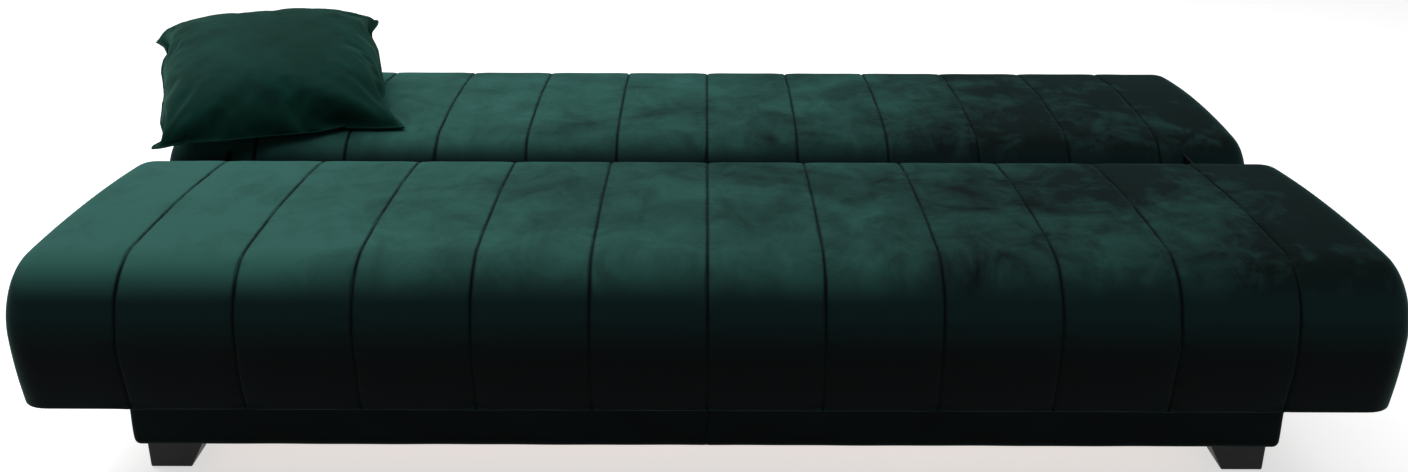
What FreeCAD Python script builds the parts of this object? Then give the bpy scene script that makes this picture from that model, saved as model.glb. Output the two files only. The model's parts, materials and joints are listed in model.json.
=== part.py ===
import FreeCAD, Part
import math
import os

from FreeCAD import Matrix, Placement, Rotation, Vector

# Futon sofa bed with a bedding box, shown folded out flat as a bed.
# Millimetres. The origin is on the floor under the hinge line, at mid-width:
# +X to the right, +Y to the back, +Z up. The seat half lies at -Y, the backrest half at +Y.

# ---------------------------------------------------------------- overall sizes
WIDTH = 1900.0              # sleeping surface, end to end
HALF_DEPTH = 560.0          # seat or backrest, front to back
HALF_GAP = 46.0             # between the two halves when flat
HALF_BOTTOM = 183.0         # underside of both halves above the floor
SEAT_TOP = 395.0            # crown of the seat
BACK_TOP = 381.0            # crown of the backrest

# ---------------------------------------------------------------- padded halves
SEAT_APEX = 374.0           # crown line of the seat, from the hinge line
BACK_APEX = 290.0           # crown line of the backrest, from the hinge line
SEAT_CROWN_R = 2867.0       # long curve across the seat
BACK_CROWN_R = 2000.0       # long curve across the backrest
OUTER_ROUND_R = 105.0       # top edge away from the hinge
SEAT_GAP_ROUND_R = 80.0     # top edge at the hinge, seat
BACK_GAP_ROUND_R = 90.0     # top edge at the hinge, backrest
FACE_UNDERCUT = 12.0        # the outer face draws in this much towards the underside
END_ROUND_R = 40.0          # left and right ends
COVER_T = 2.0               # velvet with its stitched wadding
DUST_T = 1.0                # non-woven cloth under the frame
HEM = 40.0                  # cover turned under all round

# ---------------------------------------------------------------- timber frames
RAIL_T = 25.0               # long and end rails, thickness
RAIL_H = 60.0               # all rails, height
CROSS_T = 30.0              # hinge rails and middle rail, thickness
END_WRAP = 18.0             # foam and cover outside the end rails
OUTER_WRAP = 38.0           # foam and cover outside the outer long rail
GAP_WRAP = 14.0             # foam and cover outside the long rail at the hinge
FOAM_LIFT = 11.0            # foam starts this much above the rails
SPRING_WIRE_R = 2.0
SPRING_BARS = 17            # straight bars in one zigzag spring
SPRING_BAR_HALF = 12.0      # half of one straight bar
SPRING_ROWS = 5             # springs each side of the middle rail, evenly spread
CLIP_W = 16.0
CLIP_D = 14.0
CLIP_CROWN = 2.5            # clip metal above the wire

# ---------------------------------------------------------------- base box
FOOT_H = 46.0
BASE_TOP = 176.0            # top edge of the box
BASE_WIDTH = 1716.0         # over the side panels
BASE_FRONT = 433.0          # front face, from the hinge line
BASE_BACK = 267.0           # rear face, from the hinge line
PANEL_T = 18.0
FLOOR_T = 6.0
BLOCK = 60.0                # corner block, square
BLOCK_H = 100.0
PANEL_EDGE_R = 8.0          # upright corners and lower edges of the box
SKIN_T = 1.5                # fabric stretched round the box
SKIN_TUCK = 2.0             # the fabric stops this much above the box's underside
BUFFER_R = 12.0
SCREW_R = 3.0
SCREW_LENGTH = 50.0
SCREW_INSET = 30.0          # screws from the upper and lower edges of a panel
SCREW_SUNK = 1.0            # heads below the face of the side panel
SEAM_GAP = 0.2              # between the two sewn halves of the box fabric

# ---------------------------------------------------------------- feet
FOOT_TOP = 83.0
FOOT_SOLE = 62.0
FOOT_RIM = 6.0              # straight rim at the top
FOOT_EDGE_R = 3.0           # moulded edges, upright and round the sole
FOOT_INSET = 12.0           # outer faces of a foot, in from the box faces
MID_FOOT_TOP_R = 32.0
MID_FOOT_SOLE_R = 27.0
STUD_R = 4.0
STUD_UP = 40.0              # into the block or partition
STUD_DOWN = 30.0            # into the foot

# ---------------------------------------------------------------- ratchet hinge
PIVOT_Z = 328.0             # hinge line above the floor
PLATE_T = 4.0               # arms, brackets and pawls
PLATE_GAP = 1.0             # between neighbouring plates
WASHER_T = 0.8
PIN_R = 6.0
PIN_CLEAR = 0.05            # radial clearance of a turning plate on its pin
HUB_R = 18.0
TOOTH_HUB_R = 18.5
ARM_TIP = 250.0             # arm's end, from the hinge line
ARM_SHOULDER = 104.0        # the arm's raised part ends here, from the hinge line
ARM_SHOULDER_CUT = 32.0     # sloping corner of the shoulder
ARM_THROAT_CUT = 22.0       # sloping corner under the hub
ARM_RAIL_CLEAR = 4.0        # between the arm and the long rail beside it
ARM_FOOT_H = 50.0
ARM_EDGE = 8.0              # arm's foot above the rail's underside
ARM_BOLT_R = 4.0
ARM_BOLTS = (140.0, 215.0)  # from the hinge line
SLOT_CLEAR = 2.0            # all round an arm, in the foam and the cover
NECK_HALF = 17.0            # half-width of the bracket in the gap
BRACKET_HALF = 62.0         # half-width of its foot on the side panel
BRACKET_FOOT_H = 80.0
BRACKET_CORNER = 20.0       # its upper corners are cut off
BRACKET_MARGIN = 2.0        # its foot stays this much below the panel's top
BRACKET_BOLTS = ((-44.0, 22.0), (44.0, 22.0), (-44.0, 60.0), (44.0, 60.0))
BOLT_HEAD_T = 3.0
BOLT_SHORT = 4.0            # a bolt ends this much before the far side of the wood
PIN_HEAD_T = 5.0
PIN_HEAD_GAP = 0.5
PIN_TAIL = 2.0              # thread showing past the nut
NUT_T = 8.0
NUT_WALL = 4.4              # nut corners beyond the pin
WASHER_WALL = 5.5
RIVET_HEAD_T = 2.0
RIVET_HEAD_WALL = 2.5
RIVET_HEAD_GAP = 0.4

NOTCH_STEP = 37.5           # degrees between the bed, lounge and sofa notches
NOTCH_ANGLE = -135.0        # where the pawl's tooth meets the hub
NOTCH_W = 7.0
NOTCH_DEPTH = 4.0
PAWL_Y = 4.0
PAWL_DROP = 28.0            # pawl pivot below the hinge line
PAWL_HUB_R = 7.0
PAWL_PIN_R = 3.0
PAWL_OFF = 12.0             # degrees from the notch to its resting place
PAWL_INNER_R = 20.0
PAWL_OUTER_R = 24.5
PAWL_NOSE = 8.0             # degrees that the finger runs past its tooth
PAWL_ROOT = 44.0            # degrees from its tooth back to its hub
TOOTH_W = 4.0
TOOTH_REACH = 15.4          # tooth tip, from the hinge line

# ---------------------------------------------------------------- loose pillow
PILLOW_SIDE = 420.0         # corner to corner along one side, filled
PILLOW_WAIST = 36.0         # each side draws in this much at its middle
PILLOW_THICK = 190.0
PILLOW_EDGE = 6.0           # thickness along the piped seam
PILLOW_X = -800.0
PILLOW_Y = 235.0
PILLOW_Z = 430.0
PILLOW_YAW = 17.5
PILLOW_TILT = 15.0
PILLOW_LIFT = 1.0           # over the crown that it lies on
PILLOW_LOW = 374.0          # lowest that it sags where the backrest rounds off
PILLOW_CLOTH = 1.5
PILLOW_STEPS = 12           # facets along each side

# ---------------------------------------------------------------- worked-out values
HALF_WIDTH = WIDTH / 2
GAP_FACE = HALF_GAP / 2
OUTER_FACE = GAP_FACE + HALF_DEPTH
RAIL_BOTTOM = HALF_BOTTOM + COVER_T
RAIL_TOP = RAIL_BOTTOM + RAIL_H
FOAM_BOTTOM = RAIL_TOP + FOAM_LIFT
FRAME_END = HALF_WIDTH - END_WRAP
FRAME_OUTER = OUTER_FACE - OUTER_WRAP
FRAME_GAP = GAP_FACE + GAP_WRAP
CROSS_START = FRAME_GAP + RAIL_T
ARM_KNEE = CROSS_START + ARM_RAIL_CLEAR
CROSS_LENGTH = FRAME_OUTER - RAIL_T - CROSS_START

BASE_HALF = BASE_WIDTH / 2
PANEL_IN = BASE_HALF - PANEL_T
BASE_H = BASE_TOP - FOOT_H
BASE_DEPTH = BASE_FRONT + BASE_BACK
FLOOR_TOP = FOOT_H + FLOOR_T
BUFFER_H = RAIL_BOTTOM - DUST_T - BASE_TOP

BRACKET_X = PANEL_IN - PLATE_T
BACK_ARM_X = BRACKET_X - PLATE_GAP - PLATE_T
SEAT_ARM_X = BACK_ARM_X - PLATE_GAP - PLATE_T
PAWL_Z = PIVOT_Z - PAWL_DROP


# ---------------------------------------------------------------- helpers
def save(shape, node):
    """Write one node, after making sure that all its solids are whole."""
    if not shape.isValid():
        raise ValueError(node + " is not a valid shape")
    shape.exportStep("parts/" + node + ".step")


def box(x0, x1, y0, y1, z0, z1):
    return Part.makeBox(x1 - x0, y1 - y0, z1 - z0, Vector(x0, y0, z0))


def rod_x(x0, x1, y, z, radius):
    return Part.makeCylinder(radius, x1 - x0, Vector(x0, y, z), Vector(1, 0, 0))


def rod_z(x, y, z0, z1, radius):
    return Part.makeCylinder(radius, z1 - z0, Vector(x, y, z0))


def plate_x(x, thickness, outline):
    """A flat plate from (y, z) corners, standing across the X axis."""
    wire = Part.makePolygon([Vector(x, y, z) for y, z in outline + outline[:1]])
    return Part.Face(wire).extrude(Vector(thickness, 0, 0))


def other_side(shape):
    """The same piece mirrored to the left end."""
    return shape.mirror(Vector(0, 0, 0), Vector(1, 0, 0))


def to_seat(shape):
    """A backrest-side piece mirrored to the seat side."""
    return shape.mirror(Vector(0, 0, 0), Vector(0, 1, 0))


def both_ends(shape):
    return Part.makeCompound([shape, other_side(shape)])


def save_pair(shape, name):
    save(shape, name + "_right")
    save(other_side(shape), name + "_left")


def about_pivot(radius, angle):
    """(y, z) of a point round the hinge line, angle in degrees from +Y."""
    turn = math.radians(angle)
    return radius * math.cos(turn), PIVOT_Z + radius * math.sin(turn)


# ---------------------------------------------------------------- padded halves
def half_outline(crown, apex, crown_r, gap_r, inset):
    """Section of one padded half at +Y, drawn in by inset everywhere but underneath."""
    top = crown - inset
    gap = GAP_FACE + inset
    face = OUTER_FACE - inset
    crown_r = crown_r - inset
    gap_r = gap_r - inset
    outer_r = OUTER_ROUND_R - inset
    bottom = HALF_BOTTOM if inset == 0 else RAIL_BOTTOM
    crown_centre = Vector(0, apex, top - crown_r)

    def rounding(y, radius):
        rise = math.sqrt((crown_r - radius) ** 2 - (y - apex) ** 2)
        return Vector(0, y, crown_centre.z + rise)

    def on_round(centre, radius, direction):
        return centre + direction.normalize() * radius

    gap_centre = rounding(gap + gap_r, gap_r)
    outer_centre = rounding(face - outer_r, outer_r)
    gap_touch = on_round(gap_centre, gap_r, gap_centre - crown_centre)
    outer_touch = on_round(outer_centre, outer_r, outer_centre - crown_centre)
    gap_mid = on_round(gap_centre, gap_r, gap_touch - gap_centre + Vector(0, -gap_r, 0))
    outer_mid = on_round(outer_centre, outer_r, outer_touch - outer_centre + Vector(0, outer_r, 0))
    apex_point = Vector(0, apex, top)

    drop = outer_centre.z - HALF_BOTTOM
    under_r = (drop ** 2 + FACE_UNDERCUT ** 2) / (2 * FACE_UNDERCUT) - inset
    under_y = face - under_r

    def under_point(z):
        return Vector(0, under_y + math.sqrt(under_r ** 2 - (outer_centre.z - z) ** 2), z)

    foot = under_point(bottom)
    middle = under_point((bottom + outer_centre.z) / 2)
    widest = Vector(0, face, outer_centre.z)
    gap_low = Vector(0, gap, bottom)
    gap_high = Vector(0, gap, gap_centre.z)
    edges = [
        Part.LineSegment(foot, gap_low),
        Part.LineSegment(gap_low, gap_high),
        Part.Arc(gap_high, gap_mid, gap_touch),
        Part.Arc(gap_touch, apex_point, outer_touch),
        Part.Arc(outer_touch, outer_mid, widest),
        Part.Arc(widest, middle, foot),
    ]
    return Part.Wire([edge.toShape() for edge in edges])


def half_body(crown, apex, crown_r, gap_r, inset):
    """Closed form of one padded half, with its ends rounded over."""
    reach = HALF_WIDTH - inset
    wire = half_outline(crown, apex, crown_r, gap_r, inset)
    wire.translate(Vector(-reach, 0, 0))
    body = Part.Face(wire).extrude(Vector(2 * reach, 0, 0))
    bottom = body.BoundBox.ZMin
    rim = []
    for edge in body.Edges:
        at_end = edge.BoundBox.XLength < 1e-6
        underneath = edge.BoundBox.ZMax < bottom + 1e-6
        if at_end and not underneath:
            rim.append(edge)
    return body.makeFillet(END_ROUND_R - inset, rim)


def frame_space():
    """Room for the timber frame, springs and hinge plates inside the foam."""
    return box(-FRAME_END, FRAME_END, FRAME_GAP, FRAME_OUTER, RAIL_BOTTOM, FOAM_BOTTOM)


def arm_slots(arm_x):
    """Slots that let both hinge arms out through the foam and the cover."""
    slot = box(
        arm_x - SLOT_CLEAR,
        arm_x + PLATE_T + SLOT_CLEAR,
        0,
        ARM_SHOULDER + SLOT_CLEAR,
        RAIL_TOP + SLOT_CLEAR,
        PIVOT_Z + TOOTH_HUB_R + SLOT_CLEAR,
    )
    return both_ends(slot)


def velvet_cover(outer, inner, arm_x):
    opening = box(
        -(HALF_WIDTH - HEM),
        HALF_WIDTH - HEM,
        GAP_FACE + HEM,
        OUTER_FACE - HEM,
        HALF_BOTTOM - 1,
        RAIL_BOTTOM + 1,
    )
    return outer.cut(inner).cut(opening).cut(arm_slots(arm_x))


def dust_cover():
    return box(
        -(HALF_WIDTH - HEM),
        HALF_WIDTH - HEM,
        GAP_FACE + HEM,
        OUTER_FACE - HEM,
        RAIL_BOTTOM - DUST_T,
        RAIL_BOTTOM,
    )


# ---------------------------------------------------------------- springs
def zigzag_spring(x):
    """One sinuous spring from the hinge-side long rail to the outer one."""
    start = FRAME_GAP + RAIL_T / 2
    finish = FRAME_OUTER - RAIL_T / 2
    pitch = (finish - start) / (SPRING_BARS - 1)
    z = RAIL_TOP + SPRING_WIRE_R
    edges = []
    for bar in range(SPRING_BARS):
        y = start + bar * pitch
        way = 1 if bar % 2 == 0 else -1
        bar_end = Vector(x + way * SPRING_BAR_HALF, y, z)
        edges.append(Part.LineSegment(Vector(x - way * SPRING_BAR_HALF, y, z), bar_end))
        if bar < SPRING_BARS - 1:
            crest = bar_end + Vector(way * pitch / 2, pitch / 2, 0)
            edges.append(Part.Arc(bar_end, crest, bar_end + Vector(0, pitch, 0)))
    path = Part.Wire([edge.toShape() for edge in edges])
    start_point = Vector(x - SPRING_BAR_HALF, start, z)
    ring = Part.Wire(Part.makeCircle(SPRING_WIRE_R, start_point, Vector(1, 0, 0)))
    return path.makePipeShell([ring], True, True)


def spring_clip(x, y):
    block = box(
        x - CLIP_W / 2,
        x + CLIP_W / 2,
        y - CLIP_D / 2,
        y + CLIP_D / 2,
        RAIL_TOP,
        RAIL_TOP + 2 * SPRING_WIRE_R + CLIP_CROWN,
    )
    wire = rod_x(x - CLIP_W, x + CLIP_W, y, RAIL_TOP + SPRING_WIRE_R, SPRING_WIRE_R)
    mouth = box(
        x - CLIP_W,
        x + CLIP_W,
        y - SPRING_WIRE_R,
        y + SPRING_WIRE_R,
        RAIL_TOP - 1,
        RAIL_TOP + SPRING_WIRE_R,
    )
    return block.cut(wire.fuse(mouth).removeSplitter())


# ---------------------------------------------------------------- hinge plates
def hinge_arm(arm_x, hub_r):
    """Arm of the backrest: hub on the pin, over the long rail, down to the hinge rail."""
    foot_low = RAIL_BOTTOM + ARM_EDGE
    foot_high = foot_low + ARM_FOOT_H
    outline = [
        (0.0, PIVOT_Z - HUB_R),
        (ARM_KNEE - ARM_THROAT_CUT, PIVOT_Z - HUB_R),
        (ARM_KNEE, PIVOT_Z - HUB_R - ARM_THROAT_CUT),
        (ARM_KNEE, foot_low),
        (ARM_TIP, foot_low),
        (ARM_TIP, foot_high),
        (ARM_SHOULDER, foot_high),
        (ARM_SHOULDER, PIVOT_Z + HUB_R - ARM_SHOULDER_CUT),
        (ARM_SHOULDER - ARM_SHOULDER_CUT, PIVOT_Z + HUB_R),
        (0.0, PIVOT_Z + HUB_R),
    ]
    arm = plate_x(arm_x, PLATE_T, outline)
    arm = arm.fuse(rod_x(arm_x, arm_x + PLATE_T, 0, PIVOT_Z, hub_r)).removeSplitter()
    arm = arm.cut(rod_x(arm_x, arm_x + PLATE_T, 0, PIVOT_Z, PIN_R + PIN_CLEAR))
    for y in ARM_BOLTS:
        arm = arm.cut(rod_x(arm_x, arm_x + PLATE_T, y, arm_bolt_z(), ARM_BOLT_R))
    return arm


def arm_bolt_z():
    return RAIL_BOTTOM + ARM_EDGE + ARM_FOOT_H / 2


def notch(angle):
    """One notch of the ratchet hub, ready to cut from the backrest arm."""
    cutter = box(
        BACK_ARM_X,
        BACK_ARM_X + PLATE_T,
        TOOTH_HUB_R - NOTCH_DEPTH,
        TOOTH_HUB_R + NOTCH_DEPTH,
        PIVOT_Z - NOTCH_W / 2,
        PIVOT_Z + NOTCH_W / 2,
    )
    return cutter.rotate(Vector(0, 0, PIVOT_Z), Vector(1, 0, 0), angle)


def ratchet_arm():
    arm = hinge_arm(BACK_ARM_X, TOOTH_HUB_R)
    for step in range(3):
        arm = arm.cut(notch(NOTCH_ANGLE - step * NOTCH_STEP))
    return arm


def coach_bolt(x0, x1, y, z):
    """Bolt with a flat round head, from a plate at x0 into wood that ends at x1."""
    shank = rod_x(x0, x1 - BOLT_SHORT, y, z, ARM_BOLT_R)
    head = rod_x(x0 - BOLT_HEAD_T, x0, y, z, 2 * ARM_BOLT_R)
    return shank.fuse(head).removeSplitter()


def arm_bolts(arm_x):
    """Coach bolts from the arm into the hinge rail beside it."""
    bolts = []
    for y in ARM_BOLTS:
        bolts.append(coach_bolt(arm_x, arm_x + PLATE_T + CROSS_T, y, arm_bolt_z()))
    return both_ends(Part.makeCompound(bolts))


def bracket_foot():
    """Lower and upper edge of the bracket's foot on the side panel."""
    foot_high = BASE_TOP - BRACKET_MARGIN
    return foot_high - BRACKET_FOOT_H, foot_high


def base_bracket():
    """Plate on the side panel whose neck rises between the halves to carry the pin."""
    foot_low, foot_high = bracket_foot()
    outline = [
        (-BRACKET_HALF, foot_low),
        (BRACKET_HALF, foot_low),
        (BRACKET_HALF, foot_high - BRACKET_CORNER),
        (BRACKET_HALF - BRACKET_CORNER, foot_high),
        (NECK_HALF, foot_high),
        (NECK_HALF, PIVOT_Z),
        (-NECK_HALF, PIVOT_Z),
        (-NECK_HALF, foot_high),
        (-BRACKET_HALF + BRACKET_CORNER, foot_high),
        (-BRACKET_HALF, foot_high - BRACKET_CORNER),
    ]
    plate = plate_x(BRACKET_X, PLATE_T, outline)
    plate = plate.fuse(rod_x(BRACKET_X, PANEL_IN, 0, PIVOT_Z, HUB_R)).removeSplitter()
    plate = plate.cut(rod_x(BRACKET_X, PANEL_IN, 0, PIVOT_Z, PIN_R))
    plate = plate.cut(rod_x(BRACKET_X, PANEL_IN, PAWL_Y, PAWL_Z, PAWL_PIN_R))
    for y, rise in BRACKET_BOLTS:
        plate = plate.cut(rod_x(BRACKET_X, PANEL_IN, y, foot_low + rise, ARM_BOLT_R))
    return plate


def bracket_bolts():
    foot_low = bracket_foot()[0]
    bolts = [coach_bolt(BRACKET_X, BASE_HALF, y, foot_low + rise) for y, rise in BRACKET_BOLTS]
    return Part.makeCompound(bolts)


def pivot_pin():
    head_end = SEAT_ARM_X - PIN_HEAD_GAP
    shank = rod_x(head_end, PANEL_IN + NUT_T + PIN_TAIL, 0, PIVOT_Z, PIN_R)
    head = rod_x(head_end - PIN_HEAD_T, head_end, 0, PIVOT_Z, PIN_R + WASHER_WALL)
    return shank.fuse(head).removeSplitter()


def hexagon_nut():
    corners = []
    for side in range(6):
        corners.append(about_pivot(PIN_R + NUT_WALL, 60 * side))
    nut = plate_x(PANEL_IN, NUT_T, corners)
    return nut.cut(rod_x(PANEL_IN, PANEL_IN + NUT_T, 0, PIVOT_Z, PIN_R))


def washer(x):
    ring = rod_x(x, x + WASHER_T, 0, PIVOT_Z, PIN_R + WASHER_WALL)
    return ring.cut(rod_x(x, x + WASHER_T, 0, PIVOT_Z, PIN_R))


def pawl():
    """Pawl of the ratchet, resting clear of the notches."""
    centre = Vector(BACK_ARM_X, 0, PIVOT_Z)
    finger = Part.makeCylinder(PAWL_OUTER_R, PLATE_T, centre, Vector(1, 0, 0))
    finger = finger.cut(Part.makeCylinder(PAWL_INNER_R, PLATE_T, centre, Vector(1, 0, 0)))
    wedge = [(0.0, PIVOT_Z)]
    wedge.append(about_pivot(2 * PAWL_OUTER_R, NOTCH_ANGLE - PAWL_NOSE))
    wedge.append(about_pivot(2 * PAWL_OUTER_R, NOTCH_ANGLE + PAWL_ROOT))
    finger = finger.common(plate_x(BACK_ARM_X, PLATE_T, wedge))
    tooth = box(
        BACK_ARM_X,
        BACK_ARM_X + PLATE_T,
        TOOTH_REACH,
        PAWL_INNER_R + 2,
        PIVOT_Z - TOOTH_W / 2,
        PIVOT_Z + TOOTH_W / 2,
    )
    tooth.rotate(Vector(0, 0, PIVOT_Z), Vector(1, 0, 0), NOTCH_ANGLE)
    hub = rod_x(BACK_ARM_X, BACK_ARM_X + PLATE_T, PAWL_Y, PAWL_Z, PAWL_HUB_R)
    shape = finger.fuse(tooth).fuse(hub).removeSplitter()
    shape = shape.cut(rod_x(BACK_ARM_X, BRACKET_X, PAWL_Y, PAWL_Z, PAWL_PIN_R + PIN_CLEAR))
    return shape.rotate(Vector(0, PAWL_Y, PAWL_Z), Vector(1, 0, 0), PAWL_OFF)


def pawl_rivet():
    head_end = BACK_ARM_X - RIVET_HEAD_GAP
    shank = rod_x(head_end, PANEL_IN, PAWL_Y, PAWL_Z, PAWL_PIN_R)
    head = rod_x(head_end - RIVET_HEAD_T, head_end, PAWL_Y, PAWL_Z, PAWL_PIN_R + RIVET_HEAD_WALL)
    return shank.fuse(head).removeSplitter()


# ---------------------------------------------------------------- one padded half
def build_half(name, crown, apex, crown_r, gap_r, arm_x, arm, turn):
    """Write all nodes of the seat or the backrest. turn moves them to their own side."""
    outer = half_body(crown, apex, crown_r, gap_r, 0)
    inner = half_body(crown, apex, crown_r, gap_r, COVER_T)
    save(turn(velvet_cover(outer, inner, arm_x)), name + "_cover")
    foam = inner.cut(frame_space()).cut(arm_slots(arm_x))
    save(turn(foam), name + "_foam")
    save(turn(dust_cover()), name + "_dust_cover")

    def rail(x0, x1, y0, y1):
        return box(x0, x1, y0, y1, RAIL_BOTTOM, RAIL_TOP)

    cross_end = CROSS_START + CROSS_LENGTH
    gap_rail = rail(-FRAME_END, FRAME_END, FRAME_GAP, CROSS_START)
    outer_rail = rail(-FRAME_END, FRAME_END, cross_end, FRAME_OUTER)
    end_rail = rail(FRAME_END - RAIL_T, FRAME_END, CROSS_START, cross_end)
    rail_x = arm_x + PLATE_T
    hinge_rail = rail(rail_x, rail_x + CROSS_T, CROSS_START, cross_end)
    bolts = arm_bolts(arm_x)
    hinge_rail = hinge_rail.cut(bolts)
    middle_rail = rail(-CROSS_T / 2, CROSS_T / 2, CROSS_START, cross_end)
    save(turn(gap_rail), name + "_hinge_side_rail")
    save(turn(outer_rail), name + "_outer_rail")
    save(turn(middle_rail), name + "_middle_rail")
    save_pair(turn(end_rail), name + "_end_rail")
    save_pair(turn(hinge_rail), name + "_hinge_rail")
    save_pair(turn(arm), name + "_hinge_arm")
    save(turn(bolts), name + "_arm_bolts")

    springs = []
    clips = []
    for row in range(SPRING_ROWS):
        x = CROSS_T / 2 + (row + 0.5) * (arm_x - CROSS_T / 2) / SPRING_ROWS
        spring = zigzag_spring(x)
        springs += [spring, other_side(spring)]
        for y in (FRAME_GAP + RAIL_T / 2, FRAME_OUTER - RAIL_T / 2):
            clip = spring_clip(x, y)
            clips += [clip, other_side(clip)]
    save(turn(Part.makeCompound(springs)), name + "_springs")
    save(turn(Part.makeCompound(clips)), name + "_spring_clips")


# ---------------------------------------------------------------- base box
def foot_centre(side):
    """Middle of a corner foot's stud, side is +1 at the back and -1 at the front."""
    face = BASE_BACK if side > 0 else BASE_FRONT
    return BASE_HALF - FOOT_INSET - FOOT_TOP / 2, side * (face - FOOT_INSET - FOOT_TOP / 2)


def stud(x, y):
    return rod_z(x, y, FOOT_H - STUD_DOWN, FOOT_H + STUD_UP, STUD_R)


def corner_foot(side):
    """Tapered foot: upright outer faces, sloping inner faces, straight rim on top."""
    x, y = foot_centre(side)
    outer_x = x + FOOT_TOP / 2
    outer_y = y + side * FOOT_TOP / 2

    def square(size, z):
        corners = []
        for across, along in ((0, 0), (size, 0), (size, size), (0, size)):
            corners.append(Vector(outer_x - across, outer_y - side * along, z))
        return Part.makePolygon(corners + corners[:1])

    rim = Part.makeLoft([square(FOOT_TOP, FOOT_H - FOOT_RIM), square(FOOT_TOP, FOOT_H)], True)
    taper = Part.makeLoft([square(FOOT_SOLE, 0), square(FOOT_TOP, FOOT_H - FOOT_RIM)], True)
    foot = rim.fuse(taper).removeSplitter()
    moulded = [edge for edge in foot.Edges if edge.BoundBox.ZMin < FOOT_H - 1e-6]
    return foot.makeFillet(FOOT_EDGE_R, moulded).cut(stud(x, y))


def corner_block(side):
    x, y = foot_centre(side)
    face = side * (BASE_BACK - PANEL_T) if side > 0 else side * (BASE_FRONT - PANEL_T)
    block = box(
        PANEL_IN - BLOCK,
        PANEL_IN,
        min(face, face - side * BLOCK),
        max(face, face - side * BLOCK),
        FLOOR_TOP,
        FLOOR_TOP + BLOCK_H,
    )
    return block.cut(stud(x, y))


def box_form(grow):
    """Closed form of the whole box, upright corners and lower edges rounded."""
    half = BASE_HALF + grow
    form = box(-half, half, -BASE_FRONT - grow, BASE_BACK + grow, FOOT_H, BASE_TOP)
    rounded = [edge for edge in form.Edges if edge.BoundBox.ZMin < FOOT_H + 1e-6]
    return form.makeFillet(PANEL_EDGE_R + grow, rounded)


def base_skin():
    """Right half of the fabric round the box, sewn to the left half at mid-width."""
    far = BASE_WIDTH
    kept = box(SEAM_GAP / 2, far, -far, far, FOOT_H + SKIN_TUCK, BASE_TOP)
    return box_form(SKIN_T).cut(box_form(0)).common(kept)


def build_base():
    front_in = -BASE_FRONT + PANEL_T
    back_in = BASE_BACK - PANEL_T
    bolts = bracket_bolts()
    side_panel = box(PANEL_IN, BASE_HALF, -BASE_FRONT, BASE_BACK, FOOT_H, BASE_TOP)
    screws = []
    for y in (-BASE_FRONT + PANEL_T / 2, BASE_BACK - PANEL_T / 2):
        for z in (FOOT_H + SCREW_INSET, BASE_TOP - SCREW_INSET):
            head_end = BASE_HALF - SCREW_SUNK
            screws.append(rod_x(head_end - SCREW_LENGTH, head_end, y, z, SCREW_R))
    panel_screws = Part.makeCompound(screws)
    form = box_form(0)
    side_panel = side_panel.common(form)
    save_pair(side_panel.cut(bolts).cut(panel_screws), "base_side_panel")
    front = box(-PANEL_IN, PANEL_IN, -BASE_FRONT, front_in, FOOT_H, BASE_TOP).common(form)
    back = box(-PANEL_IN, PANEL_IN, back_in, BASE_BACK, FOOT_H, BASE_TOP).common(form)
    save(front.cut(both_ends(panel_screws)), "base_front_panel")
    save(back.cut(both_ends(panel_screws)), "base_rear_panel")
    save(both_ends(panel_screws), "base_panel_screws")

    studs = [stud(0, 0)]
    for side in (-1, 1):
        right = stud(*foot_centre(side))
        studs += [right, other_side(right)]
    all_studs = Part.makeCompound(studs)
    floor = box(-PANEL_IN, PANEL_IN, front_in, back_in, FOOT_H, FLOOR_TOP)
    save(floor.cut(all_studs), "base_floor_board")
    partition = box(-PANEL_T / 2, PANEL_T / 2, front_in, back_in, FLOOR_TOP, BASE_TOP)
    save(partition.cut(all_studs), "base_centre_partition")
    save(all_studs, "foot_studs")

    blocks = Part.makeCompound([both_ends(corner_block(-1)), both_ends(corner_block(1))])
    save(blocks, "base_corner_blocks")
    save_pair(corner_foot(-1), "front_foot")
    save_pair(corner_foot(1), "rear_foot")
    middle = Part.makeCone(MID_FOOT_SOLE_R, MID_FOOT_TOP_R, FOOT_H)
    save(middle.cut(stud(0, 0)), "middle_foot")
    save_pair(base_skin(), "base_cover")

    buffers = []
    panel_mid = BASE_HALF - PANEL_T / 2
    for x in (-panel_mid, 0.0, panel_mid):
        for y in (-BASE_FRONT + 2 * BLOCK, -2 * BLOCK, 2 * BLOCK, BASE_BACK - BLOCK / 2):
            buffers.append(rod_z(x, y, BASE_TOP, BASE_TOP + BUFFER_H, BUFFER_R))
    save(Part.makeCompound(buffers), "rest_buffers")

    save_pair(base_bracket(), "hinge_bracket")
    save(both_ends(bolts), "bracket_bolts")
    save_pair(pivot_pin(), "pivot_pin")
    save(both_ends(hexagon_nut()), "pivot_nuts")
    inner_gap = (PLATE_GAP - WASHER_T) / 2
    washers = [washer(SEAT_ARM_X + PLATE_T + inner_gap), washer(BACK_ARM_X + PLATE_T + inner_gap)]
    save(both_ends(Part.makeCompound(washers)), "pivot_washers")
    save_pair(pawl(), "ratchet_pawl")
    save(both_ends(pawl_rivet()), "pawl_rivets")


# ---------------------------------------------------------------- loose pillow
def crown_height(y):
    """Height of the backrest's crown line, a distance y behind the hinge line."""
    sweep = math.sqrt(BACK_CROWN_R ** 2 - (y - BACK_APEX) ** 2)
    return BACK_TOP - BACK_CROWN_R + sweep


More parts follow.
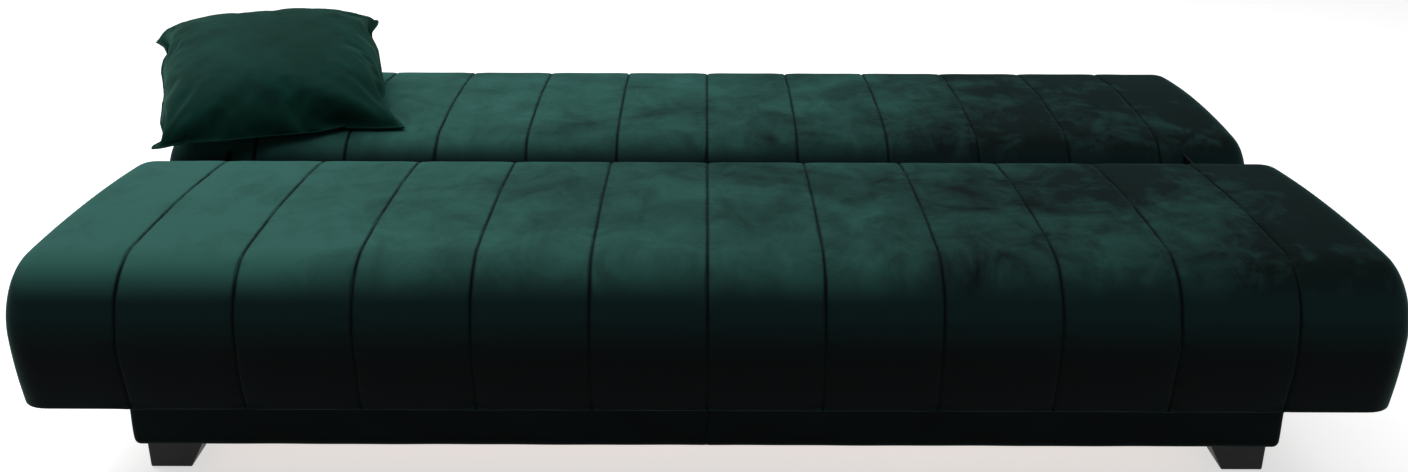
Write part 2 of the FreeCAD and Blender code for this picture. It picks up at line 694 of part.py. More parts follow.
def pillow_points(top, inset):
    """Grid of points over the pillow's top or underside."""
    half = PILLOW_SIDE / 2 - inset
    edge = PILLOW_EDGE / 2 - inset
    place = Placement(
        Vector(PILLOW_X, PILLOW_Y, PILLOW_Z),
        Rotation(Vector(0, 0, 1), PILLOW_YAW) * Rotation(Vector(1, 0, 0), PILLOW_TILT),
    )
    rows = []
    for i in range(PILLOW_STEPS + 1):
        row = []
        for j in range(PILLOW_STEPS + 1):
            u = -math.cos(math.pi * i / PILLOW_STEPS)
            v = -math.cos(math.pi * j / PILLOW_STEPS)
            full = max(0.0, (1 - u * u) * (1 - v * v)) ** 0.5
            rise = edge + (PILLOW_THICK / 2 - PILLOW_EDGE / 2) * full
            x = u * (half - PILLOW_WAIST * (1 - v * v))
            y = v * (half - PILLOW_WAIST * (1 - u * u))
            point = place.multVec(Vector(x, y, rise if top else -rise))
            under = max(PILLOW_LOW, crown_height(point.y) + PILLOW_LIFT)
            point.z = max(point.z, under + inset)
            row.append(point)
        rows.append(row)
    return rows


def pillow_body(inset):
    top = pillow_points(True, inset)
    under = pillow_points(False, inset)
    last = PILLOW_STEPS
    faces = []

    def quad(a, b, c, d):
        for corners in ((a, b, c), (a, c, d)):
            faces.append(Part.Face(Part.makePolygon(list(corners) + [corners[0]])))

    for i in range(last):
        for j in range(last):
            quad(top[i][j], top[i + 1][j], top[i + 1][j + 1], top[i][j + 1])
            quad(under[i][j], under[i][j + 1], under[i + 1][j + 1], under[i + 1][j])
    for k in range(last):
        quad(under[k][0], under[k + 1][0], top[k + 1][0], top[k][0])
        quad(under[k + 1][last], under[k][last], top[k][last], top[k + 1][last])
        quad(under[0][k + 1], under[0][k], top[0][k], top[0][k + 1])
        quad(under[last][k], under[last][k + 1], top[last][k + 1], top[last][k])
    shell = Part.Shell(faces)
    shell.sewShape()
    solid = Part.Solid(shell)
    if solid.Volume < 0:
        solid.reverse()
    return solid


def build_pillow():
    filling = pillow_body(PILLOW_CLOTH)
    save(pillow_body(0).cut(filling), "pillow_cover")
    save(filling, "pillow_filling")


os.makedirs("parts", exist_ok=True)
build_base()
build_half("seat", SEAT_TOP, SEAT_APEX, SEAT_CROWN_R, SEAT_GAP_ROUND_R, SEAT_ARM_X,
           hinge_arm(SEAT_ARM_X, HUB_R), to_seat)
build_half("backrest", BACK_TOP, BACK_APEX, BACK_CROWN_R, BACK_GAP_ROUND_R, BACK_ARM_X,
           ratchet_arm(), lambda shape: shape)
build_pillow()
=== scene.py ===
import json
import math

import bpy
import numpy as np
from mathutils import Matrix, Vector

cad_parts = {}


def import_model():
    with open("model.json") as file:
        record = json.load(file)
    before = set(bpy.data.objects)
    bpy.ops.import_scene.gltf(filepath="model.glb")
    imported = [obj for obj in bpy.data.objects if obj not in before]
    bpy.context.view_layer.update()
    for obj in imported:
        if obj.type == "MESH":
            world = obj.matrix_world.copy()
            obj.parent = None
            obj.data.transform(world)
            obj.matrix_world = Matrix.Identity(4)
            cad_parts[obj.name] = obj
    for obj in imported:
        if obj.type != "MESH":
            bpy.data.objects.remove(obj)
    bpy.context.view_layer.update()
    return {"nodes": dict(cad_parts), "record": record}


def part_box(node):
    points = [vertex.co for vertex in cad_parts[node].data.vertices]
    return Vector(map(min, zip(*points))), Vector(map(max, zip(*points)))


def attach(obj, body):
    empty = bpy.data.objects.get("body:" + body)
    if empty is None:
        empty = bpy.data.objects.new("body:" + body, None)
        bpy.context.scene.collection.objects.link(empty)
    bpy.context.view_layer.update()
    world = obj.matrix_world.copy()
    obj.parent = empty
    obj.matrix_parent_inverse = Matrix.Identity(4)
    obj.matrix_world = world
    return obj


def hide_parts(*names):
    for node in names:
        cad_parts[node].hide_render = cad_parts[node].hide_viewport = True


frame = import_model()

# Click-clack sofa bed in channel-stitched velvet, folded out flat. Metres, same frame as the CAD.

MM = 0.001
NODES = frame["nodes"]

# padded halves: rounding radii as the foam is cut
OUTER_R = 105 * MM          # top edge away from the hinge
UNDERCUT = 12 * MM          # the outer face draws in towards the underside
SEAT_SHAPE = {"crown_r": 2.867, "apex": 0.374, "hinge_r": 0.080}
BACK_SHAPE = {"crown_r": 2.000, "apex": 0.290, "hinge_r": 0.090}
CHANNELS = 12
CELL = 11.3 * MM            # cloth mesh spacing
HEM = 34 * MM               # cover turned under the frame
HEM_R = 3 * MM              # its lower edge
END_R = 40 * MM             # rounding at the left and right ends
SEAM_DEPTH = 3.0 * MM       # how far a channel seam is pulled into the foam
SEAM_REACH = 15 * MM        # how far beside the seam the pull is felt
SEAM_CUT = 3.0 * MM         # the sharp fold right at the stitches
SEAM_SHADE_HALF_WIDTH = 2.2 * MM        # half-width of the crushed pile and painted shade along a seam
FOLD_NEAR = 0.8             # close columns beside a seam, in shares of the fold's depth
FOLD_WIDE = 1.9
STITCH_DRIFT = 1.2 * MM     # how far a hand-guided seam wanders, slowly and quickly
STITCH_SHAKE = 0.7 * MM
END_STEPS = 7               # points round each end's rounding
HEM_TURNS = (1.2, 0.8, 0.4)     # radians, round the cover's lower edge
HEM_IN = [HEM, HEM * 0.6, HEM_R * 1.5] + [HEM_R * (1 - math.cos(t)) for t in HEM_TURNS]
HEM_UP = [0.0, 0.0, 0.0] + [HEM_R * (1 - math.sin(t)) for t in HEM_TURNS]
CAP_STRETCH = 1.2           # rows of an end panel stand this many cells apart
FADE_ROWS = 5.0             # rows over which swelling dies out towards the lower edges
DRIFT_ROWS = 6.0            # rows over which a seam straightens towards them
PUCKERS = ((1.0, 17 * MM, 2.1), (0.6, 41 * MM, 4.3))    # share, pitch, shift from seam to seam
PUCKER_HEIGHT = 0.55 * MM
PUCKER_FADE = 11 * MM       # away from the seam
PUCKER_FREE = 3 * MM        # none this close to the stitches

# how the covers are blown up
CLOTH_MASS = 0.02
CLOTH_DAMPING = 3.0
CLOTH_QUALITY = 5
SWELL_ROOM = 1.5 * MM       # the cloth starts this far inside and swells out
SWELL_CAP = 6 * MM
SWELL_PRESSURE = 0.8
SWELL_FRAMES = 14
SWELL_STIFFNESS = 15.0
SWELL_BENDING = 0.5
WADDING_SHARE = 0.6         # of the swelling that the stitched wadding lets through
WADDING_ROWS = 9            # rows of cloth mesh over which it evens out

# loose pillow
PILLOW_CUT = 445 * MM       # side of each of its two square panels
PILLOW_SIDE = 420 * MM      # corner to corner when filled
PILLOW_THICK = 190 * MM
PILLOW_CELLS = 56
PILLOW_YAW = 17.5           # degrees
PILLOW_TILT = 15.0
PILLOW_LIFT = 1.0 * MM      # over the crown that it lies on
PILLOW_LOW = 374 * MM       # lowest that it sags, where the backrest rounds off
PILLOW_START = 6 * MM       # half its loft before it is blown up
PILLOW_PRESSURE = 3.5
PILLOW_CAP = 200 * MM
PILLOW_STIFFNESS = 20.0
PILLOW_BENDING = 0.05
PILLOW_UNEVEN = 1.0 * MM    # lumps in the filling
PILLOW_FLATTEN = 4 * MM     # how softly it goes over into the flat where it lies
EDGE_GATHERS = ((1.3 * MM, 29 * MM, 16 * MM), (2.4 * MM, 73 * MM, 38 * MM))  # height, pitch, fade
EDGE_FLAT = 8 * MM          # next to the piping, before the gathers stand up
PIPING_R = 1.8 * MM
PIPING_SIDES = 8

# fabric round the bedding box
BOX_EDGE_R = 9.5 * MM       # upright corners and lower edges
BOX_TUCK = 2.0 * MM         # the design's fabric stops this much above the box's underside
BOX_PROUD = 1.0 * MM        # slack in the fabric, off the panels
BOX_TURN = 10 * MM          # turned in over the top edges
BOX_RISE = 0.5 * MM         # of that turn above the panels
BOX_ROWS = 12               # rows of mesh up the panels
BOX_SEAM_REACH = 2.5 * MM   # how far beside the seam the fabric is drawn in
BOX_SLACK = 0.35 * MM       # long and short waves in it
BOX_RIPPLE = 0.25 * MM
BOX_CLOSE = [0.1 * MM, 1.2 * MM, 2.6 * MM, 4.5 * MM, 8 * MM, 15 * MM]   # columns near an end
BOX_STEP = 13 * MM          # columns farther from it than BOX_REACH
BOX_REACH = 28 * MM

# stage and camera, metres and degrees
FLOOR_HALF = 30
LENS = 35.15625             # on a sensor 36 mm wide
EYE_ASIDE = -0.005
EYE_BACK = 1.643            # in front of the bed's edge
EYE_HEIGHT = 1.119
LOOK_DOWN = 22.2
LEAN = 0.17


# ------------------------------------------------------------------ small tools
def linear(code):
    """sRGB hex to the linear colour that the nodes work in."""
    out = []
    for k in (0, 2, 4):
        c = int(code[k:k + 2], 16) / 255
        out.append(c / 12.92 if c <= 0.04045 else ((c + 0.055) / 1.055) ** 2.4)
    return (*out, 1.0)


def add(tree, kind, inputs=None, **settings):
    """Add a shader node, with its settings and what its sockets hold or are linked to."""
    node = tree.nodes.new("ShaderNode" + kind)
    for name, value in settings.items():
        setattr(node, name, value)
    for name, value in (inputs or {}).items():
        if isinstance(value, bpy.types.NodeSocket):
            tree.links.new(value, node.inputs[name])
        else:
            node.inputs[name].default_value = value
    return node


def blank(name):
    """A new material with an empty tree, and the output that its shader goes to."""
    material = bpy.data.materials.new(name)
    material.use_nodes = True
    tree = material.node_tree
    tree.nodes.clear()
    return material, tree, add(tree, "OutputMaterial")


def mesh_object(name, points, faces, material=None, smooth=True):
    mesh = bpy.data.meshes.new(name)
    mesh.from_pydata([tuple(p) for p in points], [], [tuple(f) for f in faces])
    mesh.validate()
    piece = bpy.data.objects.new(name, mesh)
    bpy.context.scene.collection.objects.link(piece)
    for polygon in mesh.polygons:
        polygon.use_smooth = smooth
    if material:
        mesh.materials.append(material)
    return piece


def bake_modifiers(piece):
    """Replace the piece's mesh with what its modifiers make of it."""
    graph = bpy.context.evaluated_depsgraph_get()
    mesh = bpy.data.meshes.new_from_object(piece.evaluated_get(graph))
    piece.modifiers.clear()
    old = piece.data
    piece.data = mesh
    bpy.data.meshes.remove(old)


def subdivide(piece):
    smooth = piece.modifiers.new("smooth", "SUBSURF")
    smooth.levels = smooth.render_levels = 1
    bake_modifiers(piece)


def coords(piece):
    flat = np.empty(len(piece.data.vertices) * 3)
    piece.data.vertices.foreach_get("co", flat)
    return flat.reshape(-1, 3)


def set_coords(piece, points):
    piece.data.vertices.foreach_set("co", np.asarray(points, float).ravel())
    piece.data.update()


def normals(piece):
    flat = np.empty(len(piece.data.vertices) * 3)
    piece.data.vertices.foreach_get("normal", flat)
    return flat.reshape(-1, 3)


class Sheet:
    """Grids of points welded into one mesh, so that they can be simulated and read back."""

    def __init__(self, *grids):
        self.grids = grids
        points = np.concatenate([g.reshape(-1, 3) for g in grids])
        keys = np.round(points / (0.05 * MM)).astype(np.int64)
        _, first, self.index = np.unique(keys, axis=0, return_index=True, return_inverse=True)
        self.index = self.index.ravel()
        self.points = points[first]

    def faces(self, flips=None):
        out = []
        start = 0
        for g, grid in enumerate(self.grids):
            rows, columns = grid.shape[:2]
            at = self.index[start:start + rows * columns].reshape(rows, columns)
            start += rows * columns
            flip = bool(flips and flips[g])
            for r in range(rows - 1):
                for c in range(columns - 1):
                    corners = [at[r, c], at[r, c + 1], at[r + 1, c + 1], at[r + 1, c]]
                    kept = [v for k, v in enumerate(corners) if v != corners[k - 1]]
                    if len(kept) > 2:
                        out.append(kept[::-1] if flip else kept)
        return out

    def spread(self, values):
        """Values of the welded points, back on the grids."""
        out = []
        start = 0
        for grid in self.grids:
            count = grid.shape[0] * grid.shape[1]
            out.append(values[self.index[start:start + count]].reshape(grid.shape))
            start += count
        return out


def swell(piece, pinned, pressure, cap, stiffness, bending, backed=False):
    """Blow the cloth up gently, easing each point's way towards cap. Cloth that foam backs can
    only move outwards."""
    group = piece.vertex_groups.new(name="held")
    group.add([int(v) for v in pinned], 1.0, "REPLACE")
    before = coords(piece)
    cloth = piece.modifiers.new("cloth", "CLOTH")
    cloth.point_cache.frame_end = SWELL_FRAMES
    settings = cloth.settings
    settings.quality = CLOTH_QUALITY
    settings.mass = CLOTH_MASS
    settings.air_damping = CLOTH_DAMPING
    settings.tension_stiffness = stiffness
    settings.compression_stiffness = stiffness
    settings.shear_stiffness = stiffness / 3
    settings.bending_stiffness = bending
    settings.use_pressure = True
    settings.uniform_pressure_force = pressure
    settings.vertex_group_mass = "held"
    settings.effector_weights.gravity = 0
    cloth.collision_settings.use_collision = False
    scene = bpy.context.scene
    for step in range(1, SWELL_FRAMES + 1):
        scene.frame_set(step)
    graph = bpy.context.evaluated_depsgraph_get()
    swollen = piece.evaluated_get(graph)
    after = np.empty(len(before) * 3)
    swollen.data.vertices.foreach_get("co", after)
    moved = after.reshape(-1, 3) - before
    if backed:
        out = normals(piece)
        moved = out * np.maximum((moved * out).sum(axis=1, keepdims=True), 0)
    length = np.maximum(np.linalg.norm(moved, axis=1, keepdims=True), 1e-9)
    moved *= cap * np.tanh(length / cap) / length
    piece.modifiers.remove(cloth)
    scene.frame_set(1)
    set_coords(piece, before + moved)


# ------------------------------------------------------------------ padded halves
def arc(centre, radius, start, finish):
    """(a, z) points every half millimetre or so along an arc, angles in radians."""
    count = max(2, int(abs(finish - start) * radius / (0.5 * MM)))
    turn = np.linspace(start, finish, count)
    return np.stack([centre[0] + radius * np.cos(turn), centre[1] + radius * np.sin(turn)], 1)


def half_outline(low, high, crown_r, apex, hinge_r):
    """Outline of one half as (a, z), a being the distance from the hinge line.

    It starts low on the outer face, runs over the top, and ends low on the hinge face.
    """
    near = min(abs(low.y), abs(high.y))
    far = max(abs(low.y), abs(high.y))
    bottom = low.z + HEM_R
    crown = (apex, high.z - crown_r)

    def rounding(a, radius):
        return a, crown[1] + math.sqrt((crown_r - radius) ** 2 - (a - apex) ** 2)

    outer = rounding(far - OUTER_R, OUTER_R)
    hinge = rounding(near + hinge_r, hinge_r)
    outer_touch = math.atan2(outer[1] - crown[1], outer[0] - crown[0])
    hinge_touch = math.atan2(hinge[1] - crown[1], hinge[0] - crown[0])
    drop = outer[1] - low.z
    under_r = (drop ** 2 + UNDERCUT ** 2) / (2 * UNDERCUT)
    dip = math.asin((outer[1] - bottom) / under_r)
    parts = [
        arc((far - under_r, outer[1]), under_r, -dip, 0.0),
        arc(outer, OUTER_R, 0.0, outer_touch),
        arc(crown, crown_r, outer_touch, hinge_touch),
        arc(hinge, hinge_r, hinge_touch, math.pi),
        np.linspace((near, hinge[1]), (near, bottom), 200),
    ]
    return np.concatenate(parts)


def even_steps(line, cell):
    """The line's points about one cell apart, and the outward normals there."""
    gaps = np.linalg.norm(np.diff(line, axis=0), axis=1)
    along = np.concatenate([[0], np.cumsum(gaps)])
    count = int(round(along[-1] / cell)) + 1
    wanted = np.linspace(0, along[-1], count)
    points = np.stack([np.interp(wanted, along, line[:, k]) for k in (0, 1)], 1)
    ahead = np.stack([np.interp(wanted + MM, along, line[:, k]) for k in (0, 1)], 1)
    behind = np.stack([np.interp(wanted - MM, along, line[:, k]) for k in (0, 1)], 1)
    run = ahead - behind
    run /= np.linalg.norm(run, axis=1, keepdims=True)
    return points, np.stack([run[:, 1], -run[:, 0]], 1)


def seam_places(half_width):
    pitch = 2 * half_width / CHANNELS
    return [-half_width + pitch * k for k in range(1, CHANNELS)]


def column_places(half_width):
    """Where the cloth's columns stand along X, with one on each seam, and which are seams."""
    seams = seam_places(half_width)
    pitch = seams[1] - seams[0]
    inside = int(round(pitch / CELL))
    straight = half_width - END_R
    outer = int(round((straight - seams[-1]) / CELL))
    places = list(np.linspace(-straight, seams[0], outer + 1)[:-1])
    marks = []
    for seam in seams[:-1]:
        marks.append(len(places))
        places += list(np.linspace(seam, seam + pitch, inside + 1)[:-1])
    marks.append(len(places))
    places += list(np.linspace(seams[-1], straight, outer + 1))
    return np.array(places), marks


def end_stations(half_width, places):
    """(x, turn) of each column: round the left end, along the width, round the right end."""
    turns = np.linspace(0, math.pi / 2, END_STEPS)[1:]
    straight = half_width - END_R
    stations = [(-straight - END_R * math.sin(t), -t) for t in turns[::-1]]
    stations += [(x, 0.0) for x in places]
    stations += [(straight + END_R * math.sin(t), t) for t in turns]
    return stations, len(turns)


def cover_grid(points, out, stations, sign, floor):
    """The cover's points, one row per point of the outline, with the hem's rows at both ends."""
    rows = len(points)
    first, last = len(HEM_IN), len(HEM_IN) + rows
    grid = np.zeros((rows + 2 * len(HEM_IN), len(stations), 3))
    for c, (x, turn) in enumerate(stations):
        inset = END_R * (1 - math.cos(turn)) + SWELL_ROOM
        for k, (inward, up) in enumerate(zip(HEM_IN, HEM_UP)):
            for row, foot, way in ((k, points[0], -1), (grid.shape[0] - 1 - k, points[-1], 1)):
                a = foot[0] + way * (inset + inward * math.cos(turn))
                grid[row, c] = (x - inward * math.sin(turn), sign * a, floor + up)
        body_rows = points - out * inset
        grid[first:last, c, 0] = x
        grid[first:last, c, 1] = sign * body_rows[:, 0]
        grid[first:last, c, 2] = body_rows[:, 1]
    return grid


def end_cap(rim, side, levels, floor):
    """The panel that closes one end: from the outline's rim down to its foot, and the hem."""
    rows = len(rim)
    foot_y = np.linspace(rim[0, 1], rim[-1, 1], rows)
    cap = np.zeros((rows, levels + 1 + len(HEM_IN), 3))
    for r in range(rows):
        foot = Vector((rim[r, 0], foot_y[r], rim[0, 2]))
        for k in range(levels + 1):
            cap[r, k] = Vector(rim[r]).lerp(foot, k / levels)
        for k, (inward, up) in enumerate(zip(HEM_IN[::-1], HEM_UP[::-1])):
            cap[r, levels + 1 + k] = (foot.x - side * inward, foot.y, floor + up)
    return cap


def draw_in_seams(grid, seams, first, last, way):
    """Pull the channel seams into the foam."""
    reach = np.min(np.abs(grid[:, :, 0:1] - seams), axis=2)
    pull = SEAM_DEPTH * np.exp(-(reach / SEAM_REACH) ** 1.5)
    grid[first:last] -= pull[first:last, :, None] * way[:, None]


def blow_up(grid, caps, flips, seam_columns, first, last, way):
    """Swell the cover between its seams and hem, and even that out as wadding does."""
    rows = last - first
    sheet = Sheet(grid, *caps)
    trial = mesh_object("trial", sheet.points, sheet.faces(flips))
    at = sheet.index[:grid.shape[0] * grid.shape[1]].reshape(grid.shape[:2])
    held = {*at[:first].ravel(), *at[last:].ravel(), *at[:, seam_columns].ravel()}
    swell(trial, held, SWELL_PRESSURE, SWELL_CAP, SWELL_STIFFNESS, SWELL_BENDING, backed=True)
    blown, *blown_caps = sheet.spread(coords(trial))
    bpy.data.objects.remove(trial)
    fade = np.clip(np.minimum(np.arange(rows), rows - 1 - np.arange(rows)) / FADE_ROWS, 0, 1)
    rise = ((blown - grid)[first:last] * way[:, None]).sum(axis=2)
    rise = even_out(rise) * WADDING_SHARE * fade[:, None]
    grid[first:last] += rise[:, :, None] * way[:, None]
    belly = np.zeros(caps[0].shape[1])
    levels = len(belly) - len(HEM_IN)
    belly[:levels] = np.sin(np.linspace(0, math.pi, levels))
    for k, column in enumerate((0, -1)):
        moved = (blown_caps[k] - caps[k]) * belly[None, :, None] * fade[:, None, None]
        caps[k] = caps[k] + moved * WADDING_SHARE
        caps[k][:, 0] = grid[first:last, column]


def padded_half(name, body, shape, sign, seed):
    """One half's velvet cover over its foam, with channels sewn from front to back."""
    low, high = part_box(name + "_cover")
    points, out = even_steps(half_outline(low, high, **shape), CELL)
    out[0], out[-1] = (1, 0), (-1, 0)
    way = np.stack([np.zeros(len(out)), sign * out[:, 0], out[:, 1]], 1)
    places, marks = column_places(high.x)
    seams = places[marks]
    stations, before = end_stations(high.x, places)
    seam_columns = [m + before for m in marks]

    grid = cover_grid(points, out, stations, sign, low.z)
    first, last = len(HEM_IN), len(HEM_IN) + len(points)
    levels = max(4, int((high.z - low.z) / CELL / CAP_STRETCH))
    caps = [end_cap(grid[first:last, column], side, levels, low.z)
            for column, side in ((0, -1.0), (-1, 1.0))]
    draw_in_seams(grid, seams, first, last, way)
    flips = [sign < 0, sign > 0, sign < 0]
    blow_up(grid, caps, flips, seam_columns, first, last, way)

    grid = fold_seams(grid, seam_columns, first, last, way, seed)
    sheet = Sheet(grid, *caps)
    piece = mesh_object(name, sheet.points, sheet.faces(flips), velvet_cloth)
    subdivide(piece)
    pucker(piece, seams, seed)
    mark_seam_shade(piece, seams)
    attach(piece, body)
    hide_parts(name + "_cover", name + "_foam")


def even_out(rise):
    """Wadding evens out how far the cloth stands up along a channel."""
    reach = 3 * WADDING_ROWS
    weights = np.exp(-0.5 * (np.arange(-reach, reach + 1) / WADDING_ROWS) ** 2)
    padded = np.pad(rise, ((reach, reach), (0, 0)), mode="edge")
    return sum(w * padded[k:k + len(rise)] for k, w in enumerate(weights / weights.sum()))


def fold_seams(grid, columns, first, last, way, seed):
    """Add two close columns on each side of a seam and sink the seam, for a sharp fold."""
    sink = np.zeros((grid.shape[0], 3))
    sink[first:last] = way * SEAM_CUT
    rows = np.arange(grid.shape[0])
    pieces = []
    start = 0
    for number, c in enumerate(columns):
        drift = STITCH_DRIFT * np.sin(rows * 0.37 + seed + 1.7 * number)
        drift += STITCH_SHAKE * np.sin(rows * 0.83 + 2.3 * number)
        fade = np.clip(np.minimum(rows - first, last - 1 - rows) / DRIFT_ROWS, 0, 1)
        seam = grid[:, c].copy()
        seam[:, 0] += drift * fade
        left, right = grid[:, c - 1], grid[:, c + 1]
        step = abs(right[len(rows) // 2, 0] - left[len(rows) // 2, 0]) / 2
        near = SEAM_CUT * FOLD_NEAR / step
        wide = SEAM_CUT * FOLD_WIDE / step
        pieces.append(grid[:, start:c])
        pieces.append((seam + (left - seam) * wide)[:, None])
        pieces.append((seam + (left - seam) * near)[:, None])
        pieces.append((seam - sink)[:, None])
        pieces.append((seam + (right - seam) * near)[:, None])
        pieces.append((seam + (right - seam) * wide)[:, None])
        start = c + 1
    pieces.append(grid[:, start:])
    return np.concatenate(pieces, axis=1)


def pucker(piece, seams, seed):
    """Small gathers in the cloth, strongest beside each seam."""
    points = coords(piece)
    out = normals(piece)
    reach = np.min(np.abs(points[:, 0:1] - seams), axis=1)
    number = np.argmin(np.abs(points[:, 0:1] - seams), axis=1)
    along = points[:, 1] - points[:, 2]
    wave = np.zeros(len(points))
    for order, (share, pitch, shift) in enumerate(PUCKERS, 1):
        wave += share * np.sin(along / pitch * 2 * math.pi + number * shift + order * seed)
    beside = np.exp(-reach / PUCKER_FADE) * np.clip(reach / PUCKER_FREE, 0, 1)
    set_coords(piece, points + out * (PUCKER_HEIGHT * wave * beside)[:, None])


def mark_seam_shade(piece, seams):
    """Store how close each point is to a seam, for the crushed pile and painted shade along the
    stitches.
    """
    reach = np.min(np.abs(coords(piece)[:, 0:1] - seams), axis=1)
    mark = piece.data.attributes.new("seam", "FLOAT", "POINT")
    mark.data.foreach_set("value", np.exp(-(reach / SEAM_SHADE_HALF_WIDTH) ** 2))


# ------------------------------------------------------------------ loose pillow
def crown_height(y):
    """Height of the backrest's crown line, a distance y behind the hinge line."""
    radius = BACK_SHAPE["crown_r"]
    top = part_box("backrest_cover")[1].z
    return top - radius + np.sqrt(radius ** 2 - (y - BACK_SHAPE["apex"]) ** 2)


def edge_waves(side, away, seed):
    """Gathers that the sewn edge leaves in the cloth: they fade out away from it."""
    waves = np.zeros(side.shape)
    for order, (height, pitch, fade) in enumerate(EDGE_GATHERS, 1):
        waves += height * np.sin(side / pitch * 2 * math.pi + order * seed) * np.exp(-away / fade)
    return waves * np.clip(away / EDGE_FLAT, 0, 1)


def pillow_panels():
    """The pillow's two square panels, sewn at the edges, blown up and gathered there."""
    steps = np.linspace(-PILLOW_CUT / 2, PILLOW_CUT / 2, PILLOW_CELLS + 1)
    x, y = np.meshgrid(steps, steps, indexing="ij")
    share = 2 / PILLOW_CUT
    full = np.sqrt(np.clip((1 - (x * share) ** 2) * (1 - (y * share) ** 2), 0, 1))
    start = PILLOW_START * full
    uneven = PILLOW_UNEVEN * full * np.sin(x * 23 + 1.1) * np.sin(y * 31 + 0.4)
    top = np.stack([x, y, start + uneven], 2)
    under = np.stack([x, y, uneven - start], 2)
    sheet = Sheet(top, under)
    trial = mesh_object("trial", sheet.points, sheet.faces([False, True]))
    swell(trial, [], PILLOW_PRESSURE, PILLOW_CAP, PILLOW_STIFFNESS, PILLOW_BENDING)
    top, under = sheet.spread(coords(trial))
    bpy.data.objects.remove(trial)

    both = np.stack([top, under])
    both *= (PILLOW_SIDE / np.ptp(both[..., 0]), PILLOW_SIDE / np.ptp(both[..., 1]),
             PILLOW_THICK / np.ptp(both[..., 2]))
    edge_x = PILLOW_CUT / 2 - np.abs(x)
    edge_y = PILLOW_CUT / 2 - np.abs(y)
    waves = edge_waves(y, edge_x, 0.7) + edge_waves(x, edge_y, 2.9)
    both[0, ..., 2] += waves
    both[1, ..., 2] -= waves
    return both


def loose_pillow():
    """The filled pillow laid on the backrest, with piping round its edge."""
    low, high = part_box("pillow_cover")
    both = pillow_panels()
    turn = Matrix.Rotation(math.radians(PILLOW_YAW), 3, "Z")
    turn = turn @ Matrix.Rotation(math.radians(PILLOW_TILT), 3, "X")
    both = both @ np.array(turn).T
    both[..., 0] += (low.x + high.x) / 2
    both[..., 1] += (low.y + high.y) / 2
    both[..., 2] += high.z - both[..., 2].max()
    rest = np.maximum(PILLOW_LOW, crown_height(both[..., 1]) + PILLOW_LIFT)
    over = both[..., 2] - rest
    both[..., 2] = rest + (over + np.sqrt(over ** 2 + PILLOW_FLATTEN ** 2)) / 2

    sheet = Sheet(both[0], both[1])
    pillow = mesh_object("loose_pillow", sheet.points, sheet.faces([False, True]), pillow_cloth)
    subdivide(pillow)
    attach(pillow, "pillow")
    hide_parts("pillow_cover", "pillow_filling")

    last = PILLOW_CELLS
    rim = [both[0, 0, :last], both[0, :last, last], both[0, last, :0:-1], both[0, :0:-1, 0]]
    piping = tube("pillow_piping", np.concatenate(rim), PIPING_R, pillow_cloth)
    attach(piping, "pillow")


def tube(name, line, radius, material):
    """A closed ring of cord along the line."""
    ahead = np.roll(line, -1, axis=0) - np.roll(line, 1, axis=0)
    ahead /= np.linalg.norm(ahead, axis=1, keepdims=True)
    side = np.cross(ahead, (0, 0, 1.0))
    side /= np.linalg.norm(side, axis=1, keepdims=True)
    up = np.cross(side, ahead)
    points = []
    faces = []
    count = len(line)
    for k in range(PIPING_SIDES):
        turn = 2 * math.pi * k / PIPING_SIDES
        points.append(line + radius * (math.cos(turn) * side + math.sin(turn) * up))
    for k in range(PIPING_SIDES):
        following = (k + 1) % PIPING_SIDES
        for i in range(count):
            j = (i + 1) % count
            faces.append((k * count + i, k * count + j, following * count + j,
                          following * count + i))
    return mesh_object(name, np.concatenate(points), faces, material)


# ------------------------------------------------------------------ fabric round the box
def box_path(far, front, rear):
    """Plan of one half: mid-front, round the two corners, to mid-rear, and the way out."""
    def straight(start, finish, way):
        length = math.dist(start, finish)
        places = BOX_CLOSE + list(np.arange(BOX_REACH, length - BOX_REACH, BOX_STEP))
        places += [length - d for d in BOX_CLOSE[::-1]]
        return [(*np.array(start) + (np.array(finish) - start) * d / length, *way) for d in places]

    def corner(x, y, start):
        turns = np.radians(np.linspace(start, start + 90, 7))
        return [(x + BOX_EDGE_R * math.cos(t), y + BOX_EDGE_R * math.sin(t),
                 math.cos(t), math.sin(t)) for t in turns]

    inner = far - BOX_EDGE_R
    low, high = front + BOX_EDGE_R, rear - BOX_EDGE_R
    path = straight((0, front), (inner, front), (0, -1))
    path += corner(inner, low, -90)
    path += straight((far, low), (far, high), (1, 0))
    path += corner(inner, high, 0)
    path += straight((inner, rear), (0, rear), (0, 1))
    return np.array(path)


